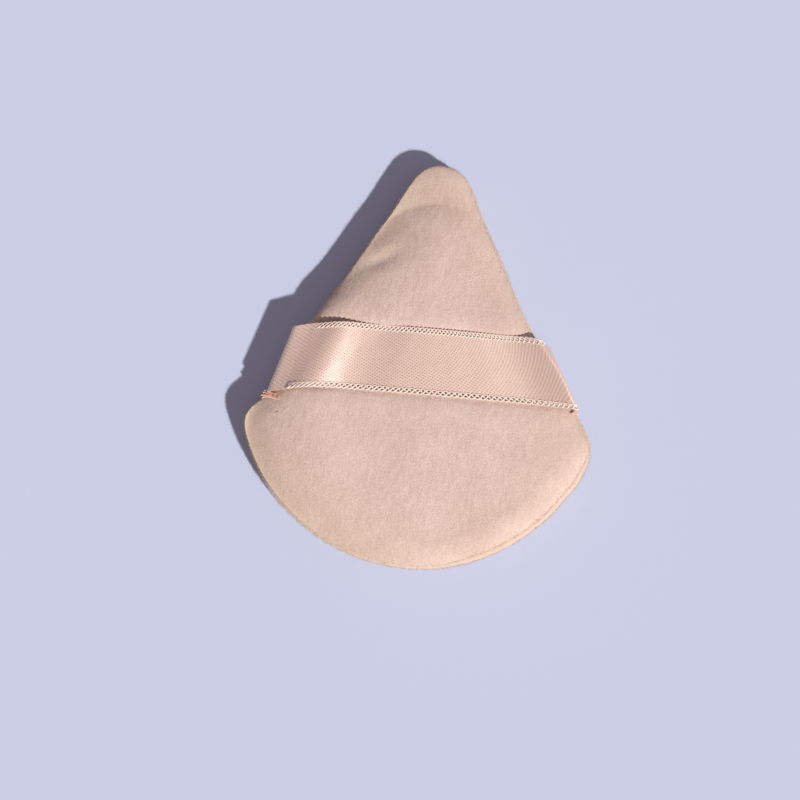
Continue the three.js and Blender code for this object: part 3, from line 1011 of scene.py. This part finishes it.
def tack(side, material):
    """A bunch of stitches over the edge, beside the ribbon's lower corner."""
    plain, out, edge = drawn_outline(OUTLINE_POINTS, True)
    start, stop, last_turn, strands, layers = TACKS[side]
    first, last = (
        int(np.argmin(np.linalg.norm(plain - np.array(place), axis=1)))
        for place in (start, stop)
    )
    belly, rise, reach = edge_roll(True)
    share = np.linspace(0, 1, 40)
    parts = []
    for k in range(strands):
        layer = k % layers
        stand = CLEARANCE + TACK_STRAND * (1 + 1.5 * layer)
        rise_by = last_turn - TACK_FOOT + random.uniform(-12, 8)
        turn = np.radians(TACK_FOOT + rise_by * share)
        offset = (k - (strands - 1) / 2) * TACK_SPREAD[side]
        sway = 0.12 * np.sin(share * math.pi * random.uniform(1.5, 3) + random.uniform(0, 6))
        number = first + (last - first) * share
        base = looked_up(number, np.arange(OUTLINE_POINTS), edge)
        away = looked_up(number, np.arange(OUTLINE_POINTS), out)
        beside = np.stack([-away[:, 1], away[:, 0]], axis=1)
        place = base - (EDGE_ROLL - (reach + stand) * np.cos(turn))[:, None] * away
        place += (offset * (1 - 0.5 * share) + sway)[:, None] * beside
        height = belly + (rise + stand) * np.sin(turn)
        route = settled(np.column_stack([place, height]))
        thin = TACK_STRAND * np.minimum(1, 0.35 + 3 * np.minimum(share, 1 - share))
        parts.append(tube(route, thin, sides=7))
    return new_piece(f"tack_{SIDE_NAMES[side]}", *joined(parts), material, "tack_thread")


# The ribbon


def end_path(side, place):
    """A smooth path through one end's control points, as (how far in, height), dense, at a
    place from 0 on the lower edge to 1 on the upper."""
    lower, upper = (np.array(points, float) for points in END_PATHS[side])
    control = lower + (upper - lower) * place ** END_CURVE[side]
    along = run_length(control)
    places = np.arange(0, along[-1], PATH_STEP)
    sharp = looked_up(places, along, control)
    firm, soft = smoothed(sharp, FIRM_PASSES), smoothed(sharp, SOFT_PASSES)
    return firm + (soft - firm) * smoothstep(*SOFT_FROM, places)[:, None]


def smoothed(path, passes):
    """A path after passes of averaging each point with its neighbours."""
    path = path.copy()
    for _ in range(passes):
        path[1:-1] = (path[:-2] + 2 * path[1:-1] + path[2:]) / 4
    return path


def resting_height(x, y):
    """The height of the ribbon's middle layer where it lies on the front face."""
    reach = np.hypot(x, RIDGE_ROUND) * math.cos(shape["side"]) + y * math.sin(shape["side"])
    scale = np.clip(reach / (shape["side_reach"] - EDGE_ROLL), 0, 1)
    stand = RIBBON_GAP + RIBBON_THICKNESS / 2 - RIBBON_DENT
    return face_level(True, scale) + stand - edge_fall(x, y)


def tuck_depth(side, x, y):
    """How far in the edge of the stitch line lies from (x, y) on the ribbon's border."""
    *_, place = drawn_outline(OUTLINE_POINTS, False, STITCH_LINE - 2 * CLEARANCE)
    beside = place[(place[:, 0] * side > SIDE_FADE[0]) & (place[:, 1] > -8)]
    beside = beside[np.argsort(beside[:, 1])]
    return abs(x) - np.interp(y, beside[:, 1], np.abs(beside[:, 0]))


def ribbon_grid(side, across, widening=True):
    """Points of one half of the ribbon's middle layer, from the stitch line to the middle of
    the puff: one row for each place across. Also the length along the half at each column."""
    low, high = np.array(END_CORNERS[side])
    rows = []
    end_share = np.linspace(0, 1, math.ceil(END_LENGTH / COLUMN_STEP), endpoint=False)
    middle_share = np.linspace(0, 1, math.ceil(MIDDLE_LENGTH / COLUMN_STEP) + 1)
    for v in across:
        place = (v / RIBBON_HALF_WIDTH + 1) / 2
        path = end_path(side, np.clip(place, 0, 1))
        along = run_length(path)
        reach = abs(low[0] + (high[0] - low[0]) * place)
        inner = path[:, 0] > PAST_FOLDS
        total = np.interp(reach, path[inner, 0], along[inner])
        laid = np.concatenate(
            [end_share * END_LENGTH, END_LENGTH + middle_share * (total - END_LENGTH)]
        )
        inward, height = looked_up(laid, along, path).T
        gain, begin, end = END_WIDENING[side]
        v = v * (1 + gain * widening * smoothstep(begin, end, inward))
        border_share = (v / RIBBON_HALF_WIDTH + 1) / 2
        border_x, border_y = (low + (high - low) * border_share[:, None]).T
        tucked = smoothstep(TUCK_TOP, SEAM_HEIGHT, height)
        depth = max(tuck_depth(side, border_x[0], border_y[0]), LEAST_TUCK)
        inward = inward + tucked * inward * (depth / path[0, 0] - 1)
        x = side * (np.abs(border_x) - inward)
        straight = RIBBON_MIDDLE + RIBBON_TILT * x + v
        at_border = RIBBON_MIDDLE + RIBBON_TILT * border_x + v
        bent = BEND_START[side]
        bend = np.clip((np.abs(x) - bent) / (np.abs(border_x) - bent), 0, 1.1)
        y = straight + (border_y - at_border) * bend**2
        start, stop = END_REACH[side]
        on_face = smoothstep(start, stop, inward)
        height = height + (resting_height(x, y) - height) * on_face
        rows.append(np.column_stack([x, y, height]))
    grid = np.stack(rows)
    return grid, run_length(grid[len(across) // 2])


def surface_normals(grid, side):
    """Unit normals of a grid of points, out of the puff."""
    down = np.gradient(grid, axis=0)
    along = np.gradient(grid, axis=1)
    return unit(np.cross(down, along) * side)


def sewn_columns(grid):
    """How many of the grid's columns lie in the seam."""
    return int(np.argmax(grid[grid.shape[0] // 2, :, 2] > SEAM_HEIGHT + SEWN_LEVEL))


def ribbon_sheet(side, sewn, material):
    """One half of the ribbon's free part, or its sewn end, as a thin closed sheet."""
    rows = round(2 * RIBBON_BODY_HALF / ROW_STEP) + 1
    across = np.linspace(-RIBBON_BODY_HALF, RIBBON_BODY_HALF, rows)
    grid, length = ribbon_grid(side, across)
    normals = surface_normals(grid, side)
    split = sewn_columns(grid)
    kept = slice(None, split + 1) if sewn else slice(split, None)
    grid, normals = grid[:, kept], normals[:, kept]
    from_middle = side * (length[-1] - length[kept])
    columns = grid.shape[1]
    half = RIBBON_THICKNESS / 2
    outer = (grid + normals * half).reshape(-1, 3)
    inner = (grid - normals * half).reshape(-1, 3)
    points = np.concatenate([outer, inner])
    count = rows * columns
    top = grid_quads(rows, columns)
    bottom = grid_quads(rows, columns, count)[:, ::-1]
    rim = rim_numbers(rows, columns)
    wall = quad_strip(rim, rim + count)
    quads = np.concatenate([top, bottom, wall])
    if side > 0:
        quads = quads[:, ::-1]
    name = f"{'ribbon_sewn' if sewn else 'ribbon'}_{SIDE_NAMES[side]}"
    piece = new_piece(name, points, quads, material, "satin_ribbon")
    corners = corner_points(piece.data)
    flat = normals.reshape(-1, 3)
    shading = np.concatenate([flat, -flat])[corners]
    shading[4 * (len(top) + len(bottom)) :] = 0
    piece.data.normals_split_custom_set(shading.tolist())
    u = np.tile(from_middle, rows * 2)
    v = np.tile(np.repeat(across, columns), 2)
    lay_out(piece.data, "ribbon_lay", np.stack([u, v], axis=1)[corners] * MM)
    return piece


def place_on(grid, length, across, distance, offset):
    """A point of the ribbon's grid at a distance along and across."""
    i = np.interp(distance, length, np.arange(len(length)))
    j = np.interp(offset, across, np.arange(len(across)))
    i0 = np.clip(np.floor(i).astype(int), 0, len(length) - 2)
    j0 = np.clip(np.floor(j).astype(int), 0, len(across) - 2)
    fi, fj = (i - i0)[:, None], (j - j0)[:, None]
    near = grid[j0, i0] * (1 - fi) + grid[j0, i0 + 1] * fi
    far = grid[j0 + 1, i0] * (1 - fi) + grid[j0 + 1, i0 + 1] * fi
    return near * (1 - fj) + far * fj


def picot_edge(side, material):
    """The woven edges of one half: along each edge, three threads plaited flat."""
    across = np.linspace(-PLAIT_REACH, PLAIT_REACH, 41)
    grid, length = ribbon_grid(side, across, widening=False)
    split = sewn_columns(grid)
    grid, length = grid[:, split:], length[split:] - length[split]
    normals = surface_normals(grid, side)
    middle_height = grid[len(across) // 2, :, 2]
    up_to_border = length[int(np.argmin(np.abs(middle_height - BORDER_HEIGHT)))]
    parts = []
    for edge, start in zip((-1, 1), PICOT_STARTS[side], strict=True):
        count = round((length[-1] - up_to_border - start) / PLAIT_PERIOD * PLAIT_POINTS)
        distance = np.linspace(up_to_border + start, length[-1], count)
        for k in range(3):
            along = side * (length[-1] - distance) / PLAIT_PERIOD + k / 3
            phase = 2 * math.pi * along
            offset = edge * (PLAIT_MIDDLE + PLAIT_SWING * np.cos(phase))
            route = place_on(grid, length, across, distance, offset)
            lift = place_on(normals, length, across, distance, offset)
            route += lift * (PLAIT_STAND + PLAIT_RISE * np.sin(2 * phase))[:, None]
            parts.append(tube(route, PLAIT_THREAD, sides=6))
    name = f"ribbon_picots_{SIDE_NAMES[side]}"
    return new_piece(name, *joined(parts), material, "satin_ribbon")


def lift_with_strap(piece):
    """Bakes the piece's placement into its mesh; the ribbon, sewn at its end, is left as it lies.
    """
    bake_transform(piece)


make_camera()
make_key_lamp()
make_world()
make_floor()
bpy.context.scene.view_settings.view_transform = "Standard"

velour = velour_material("velour", linear(204, 172, 159), linear(234, 209, 197), 0.5, 0.035)
# Painted light: the pile's tones are lighter than the cloth's, so its tufts stand out as light
# specks where the real pile catches the light
pile = velour_material("velour_pile", linear(214, 184, 170), linear(246, 225, 212), 0.6, 0.01)
satin = satin_material()
picot_thread = thread_material(
    "picot_thread", linear(240, 206, 188), linear(255, 242, 230), roughness=0.4
)

front, *front_surface = panel_piece("front_velour", True, velour)
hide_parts("front_panel")
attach(front, "puff")
back, *back_surface = panel_piece("back_velour", False, velour)
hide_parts("back_panel")
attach(back, "puff")
for pile_name, tufts, pile_surface, is_front in (
    ("front_pile", FRONT_TUFTS, front_surface, True),
    ("back_pile", BACK_TUFTS, back_surface, False),
):
    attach(pile_piece(pile_name, tufts, pile_surface, is_front, pile), "puff")

sewing_thread = thread_material("seam_thread", linear(206, 168, 140), linear(228, 196, 170))
tack_cotton = thread_material(
    "tack_thread", linear(238, 176, 150), linear(252, 220, 200), roughness=0.5
)
for inner, node in (
    (foam_core(foam_material()), "foam_core"),
    (seam_thread(sewing_thread), "edge_seam_thread"),
    (closing_thread(sewing_thread), "closing_thread"),
    (tack(-1, tack_cotton), "ribbon_tack_left"),
    (tack(1, tack_cotton), "ribbon_tack_right"),
    (ribbon_sheet(-1, True, satin), "ribbon_end_left"),
    (ribbon_sheet(1, True, satin), "ribbon_end_right"),
):
    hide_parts(node)
    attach(inner, "puff")

for ribbon_side in (-1, 1):
    half = ribbon_sheet(ribbon_side, False, satin)
    picots = picot_edge(ribbon_side, picot_thread)
    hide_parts("ribbon_strap")
    lift_with_strap(half)
    lift_with_strap(picots)
